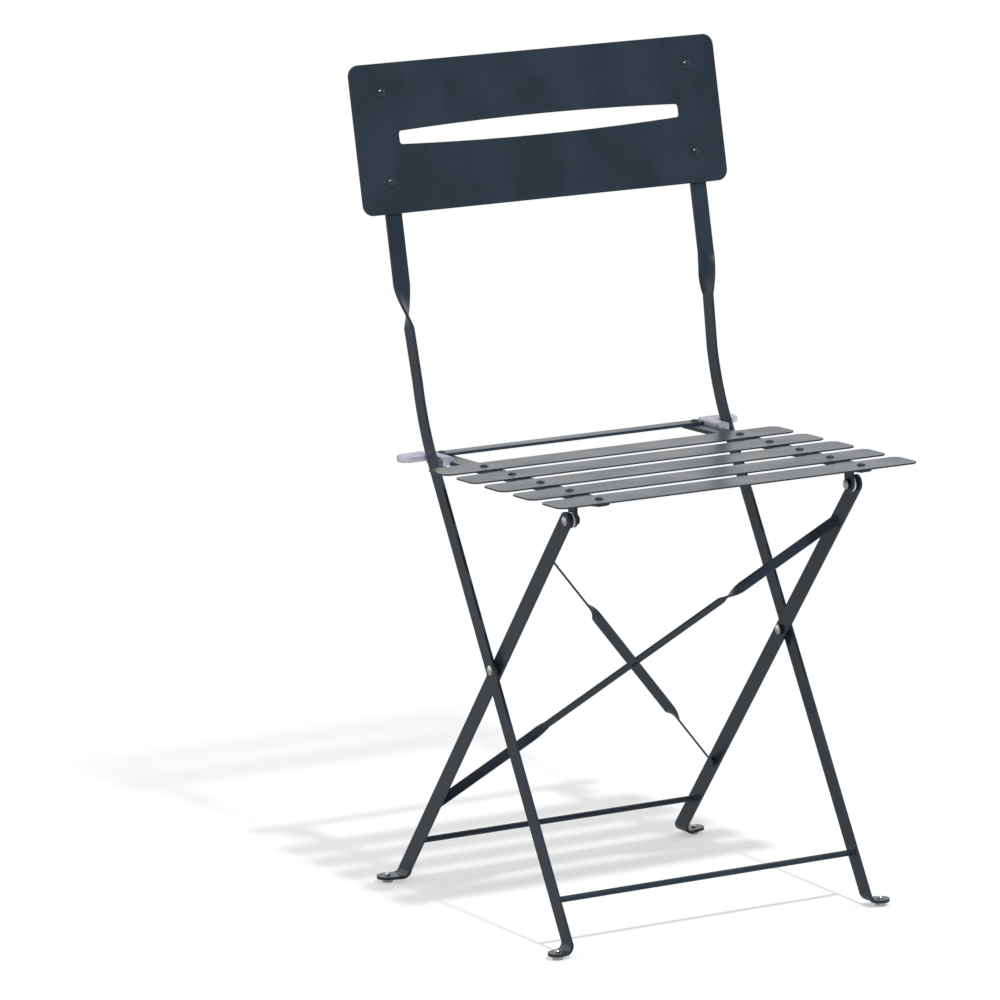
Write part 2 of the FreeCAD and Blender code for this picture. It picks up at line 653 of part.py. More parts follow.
def washer(name, radius, inner, outer, y, z):
    """Ring on a pivot rivet."""
    length = "%s - (%s)" % (outer, inner)
    ring = cylinder(name + "_blank", radius, length, along_x(inner, y, z))
    bore = cylinder(name + "_bore", "pivot_rivet_radius + fit_clearance", length, along_x(inner, y, z))
    cut = doc.addObject("Part::Cut", name + "_left")
    cut.Label = name + "_left"
    cut.Base = ring
    cut.Tool = bore
    nodes.append(cut)
    mirrored(cut, name + "_right")


def pivot_rivet(pivot, face, inner, y, z):
    """Zinc rivet across the chair, its head on this face and its upset end on a dark washer."""
    under = "%s - running_gap - collar_gauge" % inner
    body = new_body(pivot + "_rivet_left", along_x(face, y, z))
    profile = rivet_profile(body, "%s - (%s)" % (face, under), "pivot_rivet_radius",
                            "pivot_head_radius", "pivot_head_height")
    turned(body, profile)
    mirrored(body, pivot + "_rivet_right")
    washer(pivot + "_collar", "collar_radius", under, "%s - running_gap" % inner, y, z)


# Rear frame

def rear_leg():
    """Straight strap with an eye at the seat pivot and a foot tab below."""
    body = new_body("rear_leg_left")
    side = new_sketch(body, "YZ_Plane", out="#leg_inner")
    half = "strap_width / 2"
    outline(side,
            ("#rear_foot_y - #rear_half", "#fold_height"),
            ("#rear_foot_y + #rear_half", "#fold_height"),
            ("#seat_y + %s * cos(rear_lean)" % half, "#seat_z + %s * sin(rear_lean)" % half),
            ("#seat_y - %s * cos(rear_lean)" % half, "#seat_z - %s * sin(rear_lean)" % half))
    pad(body, side, "strap_gauge")
    eye = new_sketch(body, "YZ_Plane", out="#leg_inner")
    circle(eye, "#seat_y", "#seat_z", half)
    pad(body, eye, "strap_gauge")
    foot(body, "#leg_outer", "#rear_foot_y", "#rear_half", "#rear_toe_x", "#rear_toe_y",
         "#rear_toe_radius", 1)
    for y, z in (("#pivot_y", "pivot_height"), ("#seat_y", "#seat_z")):
        hole(body, "YZ_Plane", y, z, "pivot_rivet_radius + fit_clearance")
    mirrored(body, "rear_leg_right")


def cross_brace(name, flip):
    """Thin strap across the rear frame: flat at the crossing, nearly on edge beyond a twist to
    each side, its ends mitred and welded to the legs' inner faces.

    Both twists turn the same way round, so one turns further than the other.
    """
    body = new_body(name, "placement(%s; %s%s * rotation(vector(0; 0; 1); -#brace_angle))"
                    % (CROSSING, LEG_ANGLE, flip))
    middle = new_sketch(body, "XY_Plane")
    rectangle(middle, "-brace_flat_half", "brace_flat_half", "-brace_width / 2", "brace_width / 2")
    pad(body, middle, "brace_gauge")
    end_length = "#brace_half + brace_width - brace_flat_half - brace_twist"
    for way, turn, end_start in (("", "(%d + brace_lean)" % QUARTER_TURN, "brace_flat_half + brace_twist"),
                                 ("-", "(brace_lean - %d)" % QUARTER_TURN, "-#brace_half - brace_width")):
        sections = []
        for share, eased in twist_shares():
            reach = "brace_flat_half + brace_twist * %g" % share
            section = new_sketch(body, "YZ_Plane", out="%s(%s)" % (way, reach))
            turned_section(section, "0", "brace_gauge / 2 * %g" % (1 - eased), "brace_width", "brace_gauge",
                           "(%d + %s * %g)" % (QUARTER_TURN, turn, share))
            sections.append(section)
        loft(body, sections)
        end = new_sketch(body, "YZ_Plane", out=end_start)
        turned_section(end, "0", "0", "brace_width", "brace_gauge", "brace_lean")
        pad(body, end, end_length)
    leg_face = "(#leg_inner + brace_width * sin(#brace_angle)) / cos(#brace_angle)"
    near_face = "(#leg_inner - brace_width * sin(#brace_angle)) / cos(#brace_angle)"
    beyond = "(#brace_half + 3 * brace_width)"
    for way, back in (("", "-"), ("-", "")):
        mitre = new_sketch(body, "XY_Plane")
        outline(mitre,
                (way + leg_face, back + "brace_width"),
                (way + beyond, back + "brace_width"),
                (way + beyond, way + "brace_width"),
                (way + near_face, way + "brace_width"))
        pocket(body, mitre)
    hole(body, "XY_Plane", "0", "0", "brace_rivet_radius + fit_clearance")


def brace_rivet():
    body = new_body("brace_rivet", "placement(%s; %s)" % (CROSSING, LEG_ANGLE))
    profile = rivet_profile(body, "2 * brace_gauge", "brace_rivet_radius", "brace_head_radius",
                            "brace_head_height", up="brace_gauge")
    turned(body, profile)


# Seat, in its own frame: Y back along the seat, Z square to it, from the seat pivot

def side_rail():
    """Strap under the slats, round at the front, square under the crossbar."""
    body = new_body("side_rail_left", SEAT_FRAME)
    blank = new_sketch(body, "XY_Plane", out="seat_depth_above_pivot - rail_gauge")
    rectangle(blank, "#rail_x - rail_width / 2", "#rail_x + rail_width / 2",
              "-front_slat_reach", "#crossbar_reach + strap_width / 2")
    pad(body, blank, "rail_gauge")
    nose = new_sketch(body, "XY_Plane", out="seat_depth_above_pivot - rail_gauge")
    circle(nose, "#rail_x", "-front_slat_reach", "rail_width / 2")
    pad(body, nose, "rail_gauge")
    for place in range(int(number("slat_count"))):
        hole(body, "XY_Plane", "#rail_x", "-front_slat_reach + %d * slat_pitch" % place,
             "seat_rivet_radius + fit_clearance")
    hole(body, "XY_Plane", "#rail_x", "#crossbar_reach", "seat_rivet_radius + fit_clearance")
    mirrored(body, "side_rail_right")


def pivot_lug():
    """Ear welded under the rail, flush with its outer edge, with the seat pivot's hole."""
    body = new_body("pivot_lug_left", SEAT_FRAME)
    plate = new_sketch(body, "YZ_Plane", out="#lug_inner")
    rectangle(plate, "-lug_radius", "lug_radius", "0", "seat_depth_above_pivot - rail_gauge")
    pad(body, plate, "lug_gauge")
    ear = new_sketch(body, "YZ_Plane", out="#lug_inner")
    circle(ear, "0", "0", "lug_radius")
    pad(body, ear, "lug_gauge")
    hole(body, "YZ_Plane", "0", "0", "pivot_rivet_radius + fit_clearance")
    mirrored(body, "pivot_lug_right")


def slats():
    """Slat 1 is the rear one."""
    count = int(number("slat_count"))
    for place in range(count):
        body = new_body("slat_%d" % (count - place), SEAT_FRAME)
        reach = "-front_slat_reach + %d * slat_pitch" % place
        blank = new_sketch(body, "XY_Plane", "0", reach, "seat_depth_above_pivot")
        rectangle(blank, "-slat_half_length", "slat_half_length", "-slat_width / 2", "slat_width / 2")
        round_corners(body, pad(body, blank, "slat_gauge"), "slat_corner")
        for side in ("-", ""):
            hole(body, "XY_Plane", side + "(#rail_x)", reach, "seat_rivet_radius + fit_clearance")


def seat_rivets():
    """Mushroom rivets through slats and rails, and through crossbar and rails."""
    body = new_body("slat_rivets", SEAT_FRAME)
    profile = rivet_profile(body, "slat_gauge + rail_gauge", "seat_rivet_radius", "seat_head_radius",
                            "seat_head_height", "#rail_x", "#slat_top", "front_slat_reach")
    rows_on_both_sides(body, turned(body, profile), "slat_count", "slat_pitch")
    body = new_body("crossbar_rivets", SEAT_FRAME)
    profile = rivet_profile(body, "crossbar_gauge + rail_gauge", "seat_rivet_radius", "seat_head_radius",
                            "seat_head_height", "#rail_x", "#crossbar_top", "-(#crossbar_reach)")
    both_sides(body, turned(body, profile))


def rear_crossbar():
    """Flat bar on the rails' rear ends that passes behind the back posts."""
    body = new_body("rear_crossbar", SEAT_FRAME)
    blank = new_sketch(body, "XY_Plane", "0", "#crossbar_reach", "seat_depth_above_pivot")
    rectangle(blank, "-#crossbar_half", "#crossbar_half", "-strap_width / 2", "strap_width / 2")
    pad(body, blank, "crossbar_gauge")
    for side in ("-", ""):
        hole(body, "XY_Plane", side + "(#rail_x)", "#crossbar_reach", "seat_rivet_radius + fit_clearance")


def seat_glide():
    """Nylon sleeve on the crossbar's end, with a cheek beside the back post.

    The cheek sits on the rail's outer edge and reaches forward over the stop stud as a ledge,
    which is narrower than the part behind it and so passes the post's twist.
    """
    body = new_body("seat_glide_left", SEAT_FRAME)
    inner = "#lug_outer + glide_side_gap"
    front = "#sleeve_front"
    rear = "#crossbar_reach + #sleeve_half"
    bottom = "seat_depth_above_pivot - glide_wall"
    round_end = "#crossbar_half + glide_end_wall - #sleeve_half"
    sleeve = new_sketch(body, "YZ_Plane", out=inner)
    outline(sleeve,
            ("%s + glide_corner" % front, bottom, "glide_corner", 1),
            ("%s - glide_corner" % rear, bottom),
            (rear, "%s + glide_corner" % bottom, "glide_corner", 1),
            (rear, "#sleeve_top - glide_corner"),
            ("%s - glide_corner" % rear, "#sleeve_top", "glide_corner", 1),
            ("%s + glide_corner" % front, "#sleeve_top"),
            (front, "#sleeve_top - glide_corner", "glide_corner", 1),
            (front, "%s + glide_corner" % bottom))
    pad(body, sleeve, "%s - (%s)" % (round_end, inner))
    tip = new_sketch(body, "XZ_Plane", round_end, out="-(#crossbar_reach)")
    outline(tip,
            ("0", bottom),
            ("#sleeve_half - glide_corner", bottom),
            ("#sleeve_half", "%s + glide_corner" % bottom, "glide_corner", 1),
            ("#sleeve_half", "#sleeve_top - glide_corner"),
            ("#sleeve_half - glide_corner", "#sleeve_top", "glide_corner", 1),
            ("0", "#sleeve_top"))
    turned(body, tip)
    over_rail = new_sketch(body, "XZ_Plane", "#cheek_inner + #sleeve_half", out="-(#crossbar_reach)")
    outline(over_rail,
            ("0", "seat_depth_above_pivot"),
            ("#sleeve_half", "seat_depth_above_pivot"),
            ("#sleeve_half", "#sleeve_top - glide_corner"),
            ("#sleeve_half - glide_corner", "#sleeve_top", "glide_corner", 1),
            ("0", "#sleeve_top"))
    turned(body, over_rail)
    behind = "#crossbar_reach - strap_width / 2 - glide_fit"
    for outer, reach in (("#upright_inner - ledge_side_gap", "cheek_reach"),
                         ("#upright_inner - glide_side_gap", "web_reach")):
        cheek = new_sketch(body, "XZ_Plane", out="-(%s)" % behind)
        outline(cheek,
                ("#cheek_inner", "seat_depth_above_pivot"),
                (inner, "seat_depth_above_pivot"),
                (inner, "#ledge_bottom"),
                (outer, "#ledge_bottom"),
                (outer, "#sleeve_top - glide_corner"),
                ("%s - glide_corner" % outer, "#sleeve_top", "glide_corner", 1),
                ("#cheek_inner + glide_corner", "#sleeve_top"),
                ("#cheek_inner", "#sleeve_top - glide_corner", "glide_corner", 1))
        pad(body, cheek, "%s - strap_width / 2 - glide_fit" % reach)
    bore = new_sketch(body, "YZ_Plane", out="#cheek_inner")
    rectangle(bore, behind, "#crossbar_reach + strap_width / 2 + glide_fit",
              "seat_depth_above_pivot - glide_fit", "#crossbar_top + glide_fit")
    pocket(body, bore, "#crossbar_half + glide_fit - #cheek_inner")
    mirrored(body, "seat_glide_right")


# The front frame
upright()
backrest_panel()
backrest_rivets()
stretcher("front_stretcher", "#upright_inner",
          "#pivot_y - (pivot_height - front_rod_height) * tan(front_lean)", "front_rod_height")
foot_pieces("front", "#front_toe_x", "#front_toe_y")
stop_studs()
pivot_rivet("leg_pivot", "upright_face", "#leg_inner", "#pivot_y", "pivot_height")
washer("leg_pivot_washer", "pivot_washer_radius", "#leg_outer + running_gap", "#upright_inner",
       "#pivot_y", "pivot_height")

# The rear frame
rear_leg()
stretcher("rear_stretcher", "#leg_inner",
          "#pivot_y + (pivot_height - rear_rod_height) * tan(rear_lean)", "rear_rod_height")
cross_brace("cross_brace_rising", "")
cross_brace("cross_brace_falling", " * rotation(vector(0; 1; 0); 180)")
brace_rivet()
foot_pieces("rear", "#rear_toe_x", "#rear_toe_y")
pivot_rivet("seat_pivot", "#leg_outer", "#lug_inner", "#seat_y", "#seat_z")
washer("seat_pivot_washer", "pivot_washer_radius", "#seat_ring_inner", "#seat_ring_outer",
       "#seat_y", "#seat_z")
washer("seat_pivot_spacer", "spacer_radius", "#seat_ring_outer", "#leg_inner", "#seat_y", "#seat_z")

# The seat
side_rail()
pivot_lug()
slats()
seat_rivets()
rear_crossbar()
seat_glide()

doc.recompute()

# Every object has to be sound before anything is written
for item in doc.Objects:
    if "Invalid" in item.State or "Error" in item.State:
        raise RuntimeError("%s did not build: %s" % (item.Label, item.State))
for item in nodes:
    if item.Shape.isNull() or not item.Shape.isValid() or not item.Shape.Solids:
        raise RuntimeError("%s has no sound solid" % item.Label)

os.makedirs("parts", exist_ok=True)
for item in nodes:
    item.Shape.exportStep("parts/%s.step" % item.Label)
    box = item.Shape.BoundBox
    print("%-26s %2d solids %9.0f mm3  x %7.1f %7.1f  y %7.1f %7.1f  z %6.1f %6.1f" % (
        item.Label, len(item.Shape.Solids), item.Shape.Volume,
        box.XMin, box.XMax, box.YMin, box.YMax, box.ZMin, box.ZMax))
print("seat pivot y %.3f z %.3f, leg pivot y %.3f z %.3f" % (
    number("#seat_y"), number("#seat_z"), number("#pivot_y"), number("pivot_height")))
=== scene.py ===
# Folding garden chair: powder-coated steel strap, a slatted seat and a sheet back with a hand slot.
# Metres, in the chair's own frame: +Z up, +X to the sitter's left, -Y the way the sitter faces.
import math

import bmesh
import bpy
from mathutils import Matrix, Vector


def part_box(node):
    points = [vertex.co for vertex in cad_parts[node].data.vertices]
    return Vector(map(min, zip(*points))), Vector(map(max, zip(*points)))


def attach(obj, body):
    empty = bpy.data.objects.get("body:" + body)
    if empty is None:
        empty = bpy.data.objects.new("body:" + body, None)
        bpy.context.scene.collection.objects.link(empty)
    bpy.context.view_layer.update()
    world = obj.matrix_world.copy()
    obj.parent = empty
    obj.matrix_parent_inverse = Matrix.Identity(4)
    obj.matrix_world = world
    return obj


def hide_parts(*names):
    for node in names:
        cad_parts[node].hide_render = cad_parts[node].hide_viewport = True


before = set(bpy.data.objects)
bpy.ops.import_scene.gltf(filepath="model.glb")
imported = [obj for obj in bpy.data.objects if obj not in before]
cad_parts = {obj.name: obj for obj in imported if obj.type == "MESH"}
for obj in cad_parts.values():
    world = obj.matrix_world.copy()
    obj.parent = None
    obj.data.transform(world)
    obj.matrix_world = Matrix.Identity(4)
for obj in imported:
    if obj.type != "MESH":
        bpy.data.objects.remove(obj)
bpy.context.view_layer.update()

# Camera. A long lens looks down on the chair's front right corner from a little above seat height,
# with a slight lean to one side.
view_turn = math.radians(-27.44)
view_rise = math.radians(10.55)
view_lean = math.radians(-1.89)
view_distance = 5.85
view_aim = Vector((-0.1759, -0.0640, 0.4272))
lens_mm = 223.1
sensor_mm = 36
far_clip = 60

camera_data = bpy.data.cameras.new("camera")
camera_data.lens = lens_mm
camera_data.sensor_width = sensor_mm
camera_data.clip_end = far_clip
camera = bpy.data.objects.new("camera", camera_data)
bpy.context.scene.collection.objects.link(camera)
bpy.context.scene.camera = camera
camera.matrix_world = (Matrix.Translation(view_aim)
                       @ Matrix.Rotation(view_turn, 4, "Z")
                       @ Matrix.Rotation(math.pi / 2 - view_rise, 4, "X")
                       @ Matrix.Rotation(view_lean, 4, "Z")
                       @ Matrix.Translation((0, 0, view_distance)))
bpy.context.scene.view_settings.view_transform = "Standard"


# Room. It is evenly bright and white. Only reflections find it darker in front of the chair, which
# keeps the painted faces that are turned that way deep in colour.
def add_node(tree, kind, inputs=(), **settings):
    """A node with these settings, its inputs set to values or joined to other nodes' outputs."""
    node = tree.nodes.new(kind)
    for name, value in settings.items():
        setattr(node, name, value)
    for name, value in dict(inputs).items():
        if isinstance(value, bpy.types.NodeSocket):
            tree.links.new(value, node.inputs[name])
        else:
            node.inputs[name].default_value = value
    return node


def math_node(tree, operation, first, second=0.0):
    """One step of arithmetic between values in a shader tree."""
    return add_node(tree, "ShaderNodeMath", {0: first, 1: second}, operation=operation).outputs[0]


def seen_straight(tree):
    """1 for what the camera, a reflection or a view through plastic sees, 0 for plain lighting."""
    path = add_node(tree, "ShaderNodeLightPath").outputs
    mirrored = math_node(tree, "MAXIMUM", path["Is Glossy Ray"], path["Is Transmission Ray"])
    return math_node(tree, "MAXIMUM", path["Is Camera Ray"], mirrored)


room_light = 0.5
room_white = (1, 1, 1, 1)
dark_side = 0.13
dark_ahead = -0.7
bright_behind = 0.3

world = bpy.data.worlds.new("room")
bpy.context.scene.world = world
world.use_nodes = True
room = world.node_tree
room.nodes.clear()
direction = add_node(room, "ShaderNodeTexCoord").outputs["Generated"]
along = add_node(room, "ShaderNodeSeparateXYZ", {0: direction}).outputs["Y"]
brightness = add_node(room, "ShaderNodeMapRange", {
    "Value": along, "From Min": dark_ahead, "From Max": bright_behind, "To Min": dark_side, "To Max": 1.0})
to_camera = add_node(room, "ShaderNodeLightPath").outputs["Is Camera Ray"]
straight = math_node(room, "MAXIMUM", to_camera, brightness.outputs["Result"])
plain_room = add_node(room, "ShaderNodeBackground", {"Color": room_white, "Strength": room_light})
seen_room = add_node(room, "ShaderNodeBackground", {"Color": room_white, "Strength": straight})
either = add_node(room, "ShaderNodeMixShader", {
    0: seen_straight(room), 1: plain_room.outputs[0], 2: seen_room.outputs[0]})
add_node(room, "ShaderNodeOutputWorld", {"Surface": either.outputs[0]})

# Lamp. One soft round lamp hangs high in front of the chair and throws its shadow backwards.
# It is small for its height, so that the shadows keep their edges.
lamp_place = Vector((-0.06, -4.36, 6.07))
lamp_aim = Vector((0, 0, 0.4))
lamp_width = 0.30
lamp_watts = 300

lamp_data = bpy.data.lights.new("front_lamp", "AREA")
lamp_data.shape = "DISK"
lamp_data.size = lamp_width
lamp_data.energy = lamp_watts
lamp = bpy.data.objects.new("front_lamp", lamp_data)
bpy.context.scene.collection.objects.link(lamp)
lamp_facing = (lamp_aim - lamp_place).to_track_quat("-Z", "Y")
lamp.matrix_world = Matrix.Translation(lamp_place) @ lamp_facing.to_matrix().to_4x4()

# Floor. A plain white floor that keeps the chair's shadow. The shadow is fullest below the left side of
# the seat and fades out around it, and wherever the lamp reaches the floor it shows as white.
floor_half = 20
floor_lit_share = 0.71
floor_full_light = 0.86
floor_white = 1.02
floor_mirrored = 0.43
floor_grey = (0.8, 0.8, 0.8, 1)
shadow_middle = Vector((0.13, 0.07, 0.0))
shadow_near = 0.15
shadow_far = 1.12

floor_mesh = bmesh.new()
bmesh.ops.create_grid(floor_mesh, x_segments=1, y_segments=1, size=floor_half)
floor_data = bpy.data.meshes.new("floor")
floor_mesh.to_mesh(floor_data)
floor_mesh.free()
floor = bpy.data.objects.new("floor", floor_data)
bpy.context.scene.collection.objects.link(floor)

floor_paint = bpy.data.materials.new("white_floor")
floor_paint.use_nodes = True
ground = floor_paint.node_tree
ground.nodes.clear()
spot = add_node(ground, "ShaderNodeTexCoord").outputs["Object"]
from_middle = add_node(
    ground, "ShaderNodeVectorMath", {0: spot, 1: shadow_middle}, operation="SUBTRACT").outputs[0]
reach = add_node(ground, "ShaderNodeVectorMath", {0: from_middle}, operation="LENGTH").outputs["Value"]
faded = add_node(
    ground, "ShaderNodeMapRange", {"Value": reach, "From Min": shadow_near, "From Max": shadow_far},
    interpolation_type="SMOOTHSTEP").outputs["Result"]
lit = add_node(ground, "ShaderNodeBsdfDiffuse", {"Color": (floor_lit_share,) * 3 + (1,)})
glow = add_node(ground, "ShaderNodeEmission", {
    "Color": room_white, "Strength": floor_white - floor_full_light * floor_lit_share})
both = add_node(ground, "ShaderNodeAddShader", {0: lit.outputs[0], 1: glow.outputs[0]})
white = add_node(ground, "ShaderNodeEmission", {"Color": room_white, "Strength": 1})
shown = add_node(ground, "ShaderNodeMixShader", {0: faded, 1: both.outputs[0], 2: white.outputs[0]})
mirror = add_node(ground, "ShaderNodeEmission", {"Color": room_white, "Strength": floor_mirrored})
gloss = add_node(ground, "ShaderNodeLightPath").outputs["Is Glossy Ray"]
pale = add_node(ground, "ShaderNodeMixShader", {0: gloss, 1: shown.outputs[0], 2: mirror.outputs[0]})
plain_floor = add_node(ground, "ShaderNodeBsdfDiffuse", {"Color": floor_grey})
top = add_node(ground, "ShaderNodeMixShader", {
    0: seen_straight(ground), 1: plain_floor.outputs[0], 2: pale.outputs[0]})
add_node(ground, "ShaderNodeOutputMaterial", {"Surface": top.outputs[0]})
floor_data.materials.append(floor_paint)


# Powder coat. The whole steel frame is baked in anthracite powder, which dries to a fine orange peel,
# pulls a little thin over the edges and holds a trace of dust.
def new_group(name, inputs, outputs):
    """A shader group with these sockets; inputs are (name, kind, default), outputs (name, kind)."""
    group = bpy.data.node_groups.new(name, "ShaderNodeTree")
    for label, kind, default in inputs:
        socket = group.interface.new_socket(name=label, in_out="INPUT", socket_type="NodeSocket" + kind)
        socket.default_value = default
    for label, kind in outputs:
        group.interface.new_socket(name=label, in_out="OUTPUT", socket_type="NodeSocket" + kind)
    return group, group.nodes.new("NodeGroupInput").outputs, group.nodes.new("NodeGroupOutput")


def noise(tree, place, scale, detail=3.0, roughness=0.5):
    """Soft noise over the place, mostly between noise_low and noise_high."""
    return add_node(tree, "ShaderNodeTexNoise", {
        "Vector": place, "Scale": scale, "Detail": detail, "Roughness": roughness}).outputs["Fac"]


def spread(tree, value, low, high, to_low, to_high):
    """The value taken from one range to another, and held inside it."""
    ramp = add_node(tree, "ShaderNodeMapRange", {
        "Value": value, "From Min": low, "From Max": high, "To Min": to_low, "To Max": to_high})
    return ramp.outputs["Result"]


def mixed(tree, share, first, second):
    """A colour this share of the way from the first to the second."""
    mix = add_node(tree, "ShaderNodeMix", data_type="RGBA")
    for index, value in ((0, share), (6, first), (7, second)):
        if isinstance(value, bpy.types.NodeSocket):
            tree.links.new(value, mix.inputs[index])
        else:
            mix.inputs[index].default_value = value
    return mix.outputs[2]


# Where a noise texture's values mostly lie, and a little wider
noise_low = 0.35
noise_high = 0.65
wide_low = 0.3
wide_high = 0.7

# Edges of a hard surface: 0 on the flats and up to 1 where the surface turns within the width
still_flat = 0.99
fully_turned = 0.86
least_worn = 0.25
edge_group, edge_in, edge_out = new_group(
    "edge_of_surface", [("Width", "Float", 0.0008), ("Patchiness", "Float", 250.0)], [("Edge", "Float")])
rounded = add_node(edge_group, "ShaderNodeBevel", {"Radius": edge_in["Width"]}, samples=4)
true_normal = add_node(edge_group, "ShaderNodeNewGeometry").outputs["Normal"]
facing = add_node(edge_group, "ShaderNodeVectorMath", {
    0: rounded.outputs["Normal"], 1: true_normal}, operation="DOT_PRODUCT").outputs["Value"]
turned_away = spread(edge_group, facing, still_flat, fully_turned, 0.0, 1.0)
edge_place = add_node(edge_group, "ShaderNodeTexCoord").outputs["Object"]
patches = noise(edge_group, edge_place, edge_in["Patchiness"])
worn_there = spread(edge_group, patches, noise_low, noise_high, least_worn, 1.0)
edge_group.links.new(math_node(edge_group, "MULTIPLY", turned_away, worn_there), edge_out.inputs["Edge"])

# Fine lumps of a sprayed or moulded surface, slow blotches over a hand's width, and specks of dust
finer_scale = 3.1
finer_share = 0.35
speck_scale = 420.0
speck_middle = 0.06
speck_rim = 0.16
grain_group, grain_in, grain_out = new_group(
    "surface_grain",
    [("Lump scale", "Float", 900.0), ("Blotch scale", "Float", 22.0)],
    [("Height", "Float"), ("Blotch", "Float"), ("Speck", "Float")])
grain_place = add_node(grain_group, "ShaderNodeTexCoord").outputs["Object"]
lumps = noise(grain_group, grain_place, grain_in["Lump scale"], detail=2.0)
finer = noise(grain_group, grain_place,
              math_node(grain_group, "MULTIPLY", grain_in["Lump scale"], finer_scale), detail=1.0)
height = math_node(grain_group, "ADD", lumps, math_node(grain_group, "MULTIPLY", finer, finer_share))
grain_group.links.new(height, grain_out.inputs["Height"])
blotches = noise(grain_group, grain_place, grain_in["Blotch scale"], detail=4.0)
grain_group.links.new(blotches, grain_out.inputs["Blotch"])
scatter = add_node(
    grain_group, "ShaderNodeTexVoronoi", {"Vector": grain_place, "Scale": speck_scale}).outputs["Distance"]
specks = spread(grain_group, scatter, speck_middle, speck_rim, 1.0, 0.0)
grain_group.links.new(specks, grain_out.inputs["Speck"])

blotch_darker = 0.86
blotch_lighter = 1.12
dust = (0.5, 0.5, 0.48, 1)
lump_height = 0.0001


def surface(name, colour, edge_colour, rough, rough_swing, bump, lump_scale, edge_width, dustiness, **shader):
    """A material with its own grain, edges and blotches; shader holds what is the same all over."""
    material = bpy.data.materials.new(name)
    material.use_nodes = True
    tree = material.node_tree
    tree.nodes.clear()
    grain = tree.nodes.new("ShaderNodeGroup")
    grain.node_tree = grain_group
    grain.inputs["Lump scale"].default_value = lump_scale
    edge = tree.nodes.new("ShaderNodeGroup")
    edge.node_tree = edge_group
    edge.inputs["Width"].default_value = edge_width
    darker = tuple(channel * blotch_darker for channel in colour) + (1,)
    lighter = tuple(channel * blotch_lighter for channel in colour) + (1,)
    blotch = spread(tree, grain.outputs["Blotch"], noise_low, noise_high, 0.0, 1.0)
    base = mixed(tree, blotch, darker, lighter)
    dusty = mixed(tree, math_node(tree, "MULTIPLY", grain.outputs["Speck"], dustiness), base, dust)
    edged = mixed(tree, edge.outputs["Edge"], dusty, edge_colour + (1,))
    swinging = spread(
        tree, grain.outputs["Blotch"], wide_low, wide_high, rough - rough_swing, rough + rough_swing)
    smoother_edge = math_node(tree, "MULTIPLY", edge.outputs["Edge"], -rough_swing)
    relief = add_node(tree, "ShaderNodeBump", {
        "Height": grain.outputs["Height"], "Strength": bump, "Distance": lump_height})
    principled = add_node(tree, "ShaderNodeBsdfPrincipled", {
        "Base Color": edged, "Roughness": math_node(tree, "ADD", swinging, smoother_edge),
        "Normal": relief.outputs["Normal"]})
    for socket, value in shader.items():
        principled.inputs[socket.replace("_", " ")].default_value = value
    add_node(tree, "ShaderNodeOutputMaterial", {"Surface": principled.outputs[0]})
    return material


anthracite = (0.0230, 0.0370, 0.0535)
anthracite_edge = (0.044, 0.055, 0.066)
coat = surface("anthracite_powder_coat", anthracite, anthracite_edge,
               rough=0.30, rough_swing=0.05, bump=0.35, lump_scale=1100.0, edge_width=0.0007,
               dustiness=0.03, Specular_IOR_Level=0.38, Specular_Tint=(1.0, 0.975, 0.94, 1.0))


# Uprights. Each front leg and back post is one length of 17 x 3 mm strap, bent at seat height,
# twisted a quarter turn below the panel and turned outward into a round tab at the floor.
def add_piece(name, bm, material, body, nodes=()):
    """Make the bmesh a smooth-shaded piece that rides on the body and stands in for these nodes."""
    mesh = bpy.data.meshes.new(name)
    bm.to_mesh(mesh)
    bm.free()
    mesh.shade_smooth()
    mesh.materials.append(material)
    piece = bpy.data.objects.new(name, mesh)
    bpy.context.scene.collection.objects.link(piece)
    piece.modifiers.new("even_shading", "WEIGHTED_NORMAL")
    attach(piece, body)
    if nodes:
        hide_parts(*nodes)


same_place = 2e-6
flat_within = math.radians(0.3)
sharp_from = math.radians(35)


def merged(node):
    """A bmesh of a CAD node's mesh, whose loose triangles share their corners."""
    bm = bmesh.new()
    bm.from_mesh(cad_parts[node].data)
    bmesh.ops.remove_doubles(bm, verts=bm.verts, dist=same_place)
    return bm


def softened(node, rounding, segments=3):
    """A merged copy of a CAD node's mesh with its sharp edges rounded."""
    bm = merged(node)
    bmesh.ops.dissolve_limit(bm, angle_limit=flat_within, use_dissolve_boundaries=False,
                             verts=bm.verts, edges=bm.edges, delimit=set())
    corners = [edge for edge in bm.edges if edge.is_manifold and edge.calc_face_angle() > sharp_from]
    bmesh.ops.bevel(bm, geom=corners, offset=rounding, offset_type="OFFSET", segments=segments,
                    profile=0.5, affect="EDGES", clamp_overlap=True, material=-1)
    return bm


SIDES = ("left", "right")
strap_rounding = 0.0006
for side in SIDES:
    add_piece("post_strap_" + side, softened("upright_" + side, strap_rounding), coat,
              "front_frame", ["upright_" + side])

# Back panel. One sheet of 2 mm steel stands against the front of the posts. A lens-shaped hand slot is
# punched out of it, and its cut edges are deburred to a small round.
sheet_rounding = 0.0006
add_piece("back_sheet", softened("backrest_panel", sheet_rounding), coat,
          "front_frame", ["backrest_panel"])


# Panel rivets. Four domes fix the sheet to the flat ends of the posts. They are coated with the rest,
# and the powder runs smoother over them.
def middles(node):
    """The middle of each separate solid of a CAD node."""
    bm = merged(node)
    known = set()
    found = []
    for first in bm.verts:
        if first in known:
            continue
        solid = {first}
        newest = {first}
        while newest:
            newest = {edge.other_vert(vert) for vert in newest for edge in vert.link_edges} - solid
            solid |= newest
        known |= solid
        low = Vector(min(vert.co[axis] for vert in solid) for axis in range(3))
        high = Vector(max(vert.co[axis] for vert in solid) for axis in range(3))
        found.append((low + high) / 2)
    bm.free()
    return found


